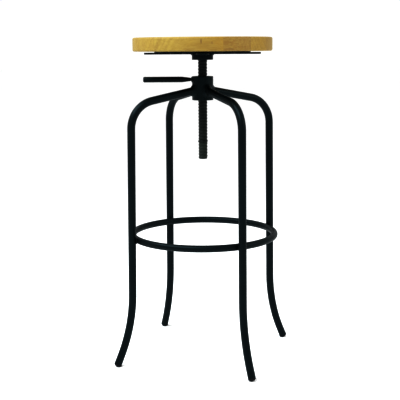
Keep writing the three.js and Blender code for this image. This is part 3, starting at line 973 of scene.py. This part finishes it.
def stud_hole():
    hole = turned([(0, SPINDLE_RADIUS / 2), (STUD_RADIUS + GAP, SPINDLE_RADIUS / 2),
                   (STUD_RADIUS + GAP, BOSS_FACE + 5 * MM), (0, BOSS_FACE + 5 * MM)], 40)
    return mesh_of("stud_hole", [moved(hole, LEVER_PLACE)])


def build_hub():
    low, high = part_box("hub_sleeve")
    inner = HUB_RADIUS - HUB_WALL
    sleeve = turned_tube(inner, HUB_RADIUS, low.z, high.z, edge=0.8 * MM, sides=120)
    mesh = without(mesh_of("sleeve", [sleeve]), stud_hole())
    show("hub", mesh, FRAME_BLACK, "frame", ["hub_sleeve"])

    boss = turned([
        (0, BOSS_ROOT), (BOSS_RADIUS, BOSS_ROOT),
        *arc(BOSS_RADIUS - BOSS_EDGE, BOSS_FACE - BOSS_EDGE, BOSS_EDGE, 0, 90), (0, BOSS_FACE),
    ], 56)
    boss_mesh = mesh_of("boss", [moved(boss, LEVER_PLACE)])
    show("lever_boss", without(boss_mesh, stud_hole()), FRAME_BLACK, "frame", ["lock_boss"])

    angles = ring_angles(180)
    across, up = BOSS_RADIUS * np.cos(angles), BOSS_RADIUS * np.sin(angles)
    reach = np.sqrt(HUB_RADIUS ** 2 - across ** 2)
    corner, _ = moved((np.stack([reach, across, up + LEVER_HEIGHT], 1), []), about_z(LEVER_TURN))
    way = (math.cos(LEVER_TURN), math.sin(LEVER_TURN), 0)
    bar = RoundBar((0, 0, LEVER_HEIGHT), way, BOSS_RADIUS, (0, BOSS_FACE - 0.6 * MM))
    sleeve_side = RoundBar((0, 0, 0), (0, 0, 1), HUB_RADIUS, (low.z + 1 * MM, high.z - 0.7 * MM))
    bead = fillet_bead(corner, sleeve_side, bar, BOSS_WELD, ripples=18, bulge=0.0)
    show("boss_weld", mesh_of("boss_weld", [bead], 60), FRAME_BLACK, "frame")


def build_nut():
    """The nut, with the inside thread that the spindle runs in, and no hole for the lever's stud."""
    low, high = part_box("spindle_nut")
    outer = HUB_RADIUS - HUB_WALL - GAP
    clear = 0.25 * MM
    profile = trapezoid(THREAD_PITCH, SPINDLE_RADIUS + clear, SPINDLE_RADIUS - THREAD_DEPTH + clear)
    work = bmesh.new()
    add_shape(work, helix_skin(profile, THREAD_PITCH, low.z, high.z, 48))
    edge = 0.8 * MM
    half_height = (high.z - low.z) / 2
    for rim, side in zip(cut_between(work, low.z, high.z), (1, -1)):
        close_end(work, rim, ((outer - edge, 0), (outer, side * edge), (outer, side * half_height)))
    mesh = finished(work, "nut", 28)
    show("threaded_nut", mesh, NUT_STEEL, "frame", ["spindle_nut"])


def build_lever():
    """The lever: a threaded stud, a neck, a straight taper with eased ends and a round handle."""
    length, grow = LEVER_TAPER_START - LEVER_NECK, LEVER_RADIUS - LEVER_NECK_RADIUS
    ease = 0.12
    taper = []
    for t in np.linspace(0, 1, 15)[1:]:
        rise = (t - ease / 2) / (1 - ease)
        if t < ease:
            rise = t * t / (2 * ease * (1 - ease))
        elif t > 1 - ease:
            rise = 1 - (1 - t) ** 2 / (2 * ease * (1 - ease))
        taper.append((LEVER_NECK_RADIUS + grow * rise, 0.3 * MM + (length - 0.3 * MM) * t))
    handle = turned([
        (0, LEVER_NECK), (LEVER_NECK_RADIUS - 0.3 * MM, LEVER_NECK),
        (LEVER_NECK_RADIUS, LEVER_NECK + 0.3 * MM),
        *[(radius, LEVER_NECK + along) for radius, along in taper],
        *arc(LEVER_RADIUS - LEVER_NOSE, LEVER_TIP - LEVER_NOSE, LEVER_NOSE, 0, 90, 8),
        (0, LEVER_TIP),
    ], 56)
    root = STUD_RADIUS - STUD_DEPTH
    stud = threaded_rod("stud", STUD_PITCH, STUD_RADIUS, root, STUD_END, LEVER_NECK + 1 * MM, 32)
    work = bmesh.new()
    work.from_mesh(stud)
    add_shape(work, handle)
    bmesh.ops.remove_doubles(work, verts=work.verts, dist=1e-7)
    mesh = finished(work, "lever", 32)
    show("clamp_lever", mesh, LEVER_BLACK, "lock_lever", ["lock_lever"], LEVER_PLACE)


# -------------------- spindle and its stops


def build_spindle():
    low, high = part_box("spindle")
    root = SPINDLE_RADIUS - THREAD_DEPTH
    half = GROOVE_WIDTH / 2
    bed = SPINDLE_RADIUS - GROOVE_DEPTH
    limits = [
        (low.z, low.z + SPINDLE_CHAMFER, SPINDLE_RADIUS - SPINDLE_CHAMFER, SPINDLE_RADIUS),
        (GROOVE_HEIGHT - half, GROOVE_HEIGHT + half, bed, bed),
    ]
    centre_hole = ((3 * MM, 0), (2.6 * MM, 0.3 * MM), (0, 3 * MM))
    mesh = threaded_rod(
        "spindle", THREAD_PITCH, SPINDLE_RADIUS, root, low.z, high.z, 48, limits, centre_hole)
    show("screw_spindle", mesh, SPINDLE_STEEL, "seat", ["spindle"])


def build_stops():
    low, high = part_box("stop_washer")
    bore = SPINDLE_RADIUS + GAP
    washer = turned_tube(bore, STOP_WASHER_RADIUS, low.z, high.z, edge=0.3 * MM, sides=64)
    mesh = mesh_of("washer", [washer])
    show("washer", mesh, SPINDLE_STEEL, "stop_washer", ["stop_washer"])

    low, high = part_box("retaining_ring")
    inner = SPINDLE_RADIUS - GROOVE_DEPTH + GAP
    open_half = RETAINING_RING_OPEN / 2
    angles = np.linspace(open_half, 2 * math.pi - open_half, 49)
    outline = [(RETAINING_RING_RADIUS * math.cos(a), RETAINING_RING_RADIUS * math.sin(a)) for a in angles]
    outline += [(inner * math.cos(a), inner * math.sin(a)) for a in angles[::-1]]
    mesh = flat_plate("snap_ring", [outline], low.z, high.z, 0.2 * MM)
    show("snap_ring", mesh, SPINDLE_STEEL, "seat", ["retaining_ring"], about_z(SEAT_TURN))


# -------------------- seat


def screw_places():
    """Midway between the bars of the cross, at each screw circle."""
    turns = [math.radians(45 + 90 * i) for i in range(4)]
    return [(r * math.cos(a), r * math.sin(a)) for a in turns for r in SCREW_CIRCLES]


def bar_outline(start, end, round_start):
    """A flat bar along X with a round end, and with a round or square start."""
    half = BAR_WIDTH / 2
    ends = np.radians(np.linspace(-90, 90, 25))
    outline = [(end - half + half * math.cos(a), half * math.sin(a)) for a in ends]
    if round_start:
        outline += [(start + half - half * math.cos(a), -half * math.sin(a)) for a in ends]
    else:
        outline += [(start, half), (start, -half)]
    return outline


def build_bars():
    low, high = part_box("cross_bar")
    edge = 0.5 * MM
    whole = flat_plate("cross_bar", [bar_outline(-BAR_REACH, BAR_REACH, True)], low.z, high.z, edge)
    half = flat_plate("side_bar", [bar_outline(BAR_WIDTH / 2 + GAP, BAR_REACH, False)], low.z, high.z, edge)
    for name, mesh, quarters, node in (
        ("long_bar", whole, 0, "cross_bar"),
        ("half_bar_left", half, 1, "side_bar_left"),
        ("half_bar_right", half, -1, "side_bar_right"),
    ):
        place = about_z(SEAT_TURN + quarters * math.pi / 2)
        show(name, mesh, FRAME_BLACK, "seat", [node], place)


def build_plate():
    low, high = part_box("seat_plate")
    holes = [circle(SCREW_SHANK_RADIUS + GAP, 24, x, y) for x, y in screw_places()]
    mesh = flat_plate("plate", [circle(PLATE_RADIUS, 180)] + holes, low.z, high.z, 0.4 * MM)
    show("mounting_plate", mesh, FRAME_BLACK, "seat", ["seat_plate"], about_z(SEAT_TURN))


def build_collar():
    low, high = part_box("seat_collar")
    bore = SPINDLE_RADIUS + GAP
    collar = turned_tube(bore, COLLAR_RADIUS, low.z, high.z, edge=0.5 * MM, sides=120)
    show("collar", mesh_of("collar", [collar]), FRAME_BLACK, "seat", ["seat_collar"])

    bar_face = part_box("cross_bar")[0].z
    side = RoundBar((0, 0, 0), (0, 0, 1), COLLAR_RADIUS)
    under = FlatFace((0, 0, bar_face), (0, 0, -1))
    spread = math.asin(BAR_WIDTH / 2 / COLLAR_RADIUS) * 0.97
    beads = []
    for quarter in range(4):
        angles = SEAT_TURN + quarter * math.pi / 2 + np.linspace(-spread, spread, 90)
        corner = level_points(COLLAR_RADIUS, bar_face, angles)
        beads.append(fillet_bead(corner, side, under, COLLAR_WELD, ripples=11, bulge=-0.04, closed=False))
    show("collar_weld", mesh_of("collar_weld", beads, 60), FRAME_BLACK, "seat")

    corner = level_points(SPINDLE_RADIUS, low.z, ring_angles(180))
    rod = RoundBar((0, 0, 0), (0, 0, 1), SPINDLE_RADIUS)
    face = FlatFace((0, 0, low.z), (0, 0, -1))
    bead = fillet_bead(corner, rod, face, SPINDLE_WELD, ripples=16, bulge=-0.02)
    show("spindle_weld", mesh_of("spindle_weld", [bead], 60), FRAME_BLACK, "seat")


def build_screws():
    """Pan-head wood screws with a cross recess and a coarse thread."""
    low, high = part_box("seat_screw_1")
    head_low, tip = low.z, high.z
    head_high = head_low + SCREW_HEAD_HEIGHT
    crown = 1.2 * MM
    head = turned([
        (0, head_low), (SCREW_HEAD_RADIUS - 2.2 * MM, head_low + 0.02 * MM),
        *arc(SCREW_HEAD_RADIUS - crown, head_low + crown, crown, -75, 0, 8),
        (SCREW_HEAD_RADIUS, head_high), (0, head_high),
    ], 40)
    # The recess: two crossed slots that narrow into the head, by (height, half length, half width),
    # from a mouth that lies 1 mm outside the head.
    mouth = (head_low - 1 * MM, 2.806 * MM, 0.45 * MM)
    bottom = (head_low + 1.6 * MM, 1.035 * MM, 0.315 * MM)
    rows = [[(x, -y, z), (x, y, z), (-x, y, z), (-x, -y, z)] for z, x, y in (mouth, bottom)]
    recessed = mesh_of("screw_head", [head])
    for turn in (0, math.pi / 2):
        recessed = without(recessed, mesh_of("slot", [moved(surface(rows), about_z(turn))]), 40)
    shank = threaded_rod(
        "shank", 2.2 * MM, SCREW_SHANK_RADIUS, 1.5 * MM, head_high - 0.4 * MM, tip, 20,
        [(tip - 5 * MM, tip, SCREW_SHANK_RADIUS, 0.1 * MM)],
    )
    work = bmesh.new()
    work.from_mesh(recessed)
    work.from_mesh(shank)
    mesh = finished(work, "wood_screw", 32)
    for i, (x, y) in enumerate(screw_places(), 1):
        place = about_z(SEAT_TURN) @ Matrix.Translation((x, y, 0)) @ about_z(0.7 * i)
        show(f"wood_screw_{i}", mesh, SCREW_BLACK, "seat", [f"seat_screw_{i}"], place)


def build_seat():
    """The wooden disc. It has no pilot holes: the screws' threads sit in the wood."""
    low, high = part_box("seat")
    edge = SEAT_RADIUS - SEAT_EDGE
    outline = [
        (0, low.z), (edge * 0.5, low.z),
        *arc(edge, low.z + SEAT_EDGE, SEAT_EDGE, -90, 0, 10),
        *arc(edge, high.z - SEAT_EDGE, SEAT_EDGE, 0, 90, 10),
        (edge * 0.5, high.z), (0, high.z),
    ]
    mesh = mesh_of("seat_disc", [turned(outline, 256)])
    show("wooden_seat", mesh, WOOD, "seat", ["seat"], about_z(SEAT_TURN))


def finish_pad():
    """The lock pad is small and hidden, so it keeps its CAD mesh and only gets its material."""
    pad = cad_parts["lock_pad"]
    pad.data.materials.clear()
    pad.data.materials.append(PAD_NYLON)


# -------------------- stage

CAMERA_DISTANCE = 2.1232
CAMERA_HEIGHT = 0.7522
CAMERA_TURN = math.radians(17.35)
CAMERA_DOWN = 0.1716
CAMERA_ASIDE = -0.0039
CAMERA_ROLL = -0.007
CAMERA_LENS = 79.58  # millimetres, on a 36 mm sensor

FLOOR_WHITE = 0.98
FLOOR_RADIUS = 30
WORLD_STRENGTH = 1.03
# A steep tone curve: nearly closed blacks and strong colours.
VIEW_GAMMA = 0.55
LAMP_TARGET = 0.4  # the height that the lamps aim at
# Name, angle round from the camera, height, distance, size, watts and tint.
SOFTBOXES = (
    ("top_left", -80, 2.2, 1.5, 0.42, 30, (0.86, 0.94, 1.0)),
    ("right", 72, 1.5, 2.2, 0.9, 14, (1.0, 0.98, 0.94)),
    ("front", -28, 2.3, 1.6, 0.42, 32, (0.9, 0.96, 1.0)),
)


def add_camera():
    ahead = Vector((
        math.sin(CAMERA_ASIDE) * math.cos(CAMERA_DOWN),
        math.cos(CAMERA_ASIDE) * math.cos(CAMERA_DOWN),
        -math.sin(CAMERA_DOWN),
    ))
    right = Vector((math.cos(CAMERA_ASIDE), -math.sin(CAMERA_ASIDE), 0))
    up = right.cross(ahead)
    across = right * math.cos(CAMERA_ROLL) + up * math.sin(CAMERA_ROLL)
    upwards = up * math.cos(CAMERA_ROLL) - right * math.sin(CAMERA_ROLL)
    axes = Matrix((across, upwards, -ahead)).transposed().to_4x4()
    data = bpy.data.cameras.new("camera")
    data.lens = CAMERA_LENS
    data.sensor_width = 36
    data.clip_start, data.clip_end = 0.05, 100
    camera = bpy.data.objects.new("camera", data)
    place = Matrix.Translation((0, -CAMERA_DISTANCE, CAMERA_HEIGHT))
    camera.matrix_world = about_z(CAMERA_TURN) @ place @ axes
    add_to_scene(camera)
    bpy.context.scene.camera = camera


def add_floor():
    work = bmesh.new()
    bmesh.ops.create_circle(work, cap_ends=True, segments=96, radius=FLOOR_RADIUS)
    mesh = bpy.data.meshes.new("floor")
    work.to_mesh(mesh)
    work.free()
    floor = bpy.data.objects.new("floor", mesh)
    white = (FLOOR_WHITE, FLOOR_WHITE, FLOOR_WHITE, 1)
    finish = Finish("floor_white", Base_Color=white, Roughness=0.8, Specular_IOR_Level=0.1)
    mesh.materials.append(finish.material)
    add_to_scene(floor)


def add_softbox(name, azimuth, height, distance, size, power, tint):
    """A square soft light at an angle in degrees round from the camera, aimed at the stool's middle."""
    data = bpy.data.lights.new(name, "AREA")
    data.shape = "SQUARE"
    data.size = size
    data.energy = power
    data.color = tint
    lamp = bpy.data.objects.new(name, data)
    turn = CAMERA_TURN + math.radians(azimuth)
    lamp.location = (distance * math.sin(turn), -distance * math.cos(turn), height)
    lamp.rotation_euler = (Vector((0, 0, LAMP_TARGET)) - lamp.location).to_track_quat("-Z", "Y").to_euler()
    add_to_scene(lamp)


def add_light():
    world = bpy.data.worlds.new("studio")
    world.use_nodes = True
    background = world.node_tree.nodes["Background"]
    background.inputs["Color"].default_value = (1, 1, 1, 1)
    background.inputs["Strength"].default_value = WORLD_STRENGTH
    bpy.context.scene.world = world
    for softbox in SOFTBOXES:
        add_softbox(*softbox)


# -------------------- everything, in order

build_legs()
build_footrest()
build_hub()
build_nut()
build_lever()
build_spindle()
build_stops()
build_bars()
build_plate()
build_collar()
build_screws()
build_seat()
finish_pad()

add_camera()
add_floor()
add_light()
bpy.context.scene.view_settings.view_transform = "Standard"
bpy.context.scene.view_settings.gamma = VIEW_GAMMA
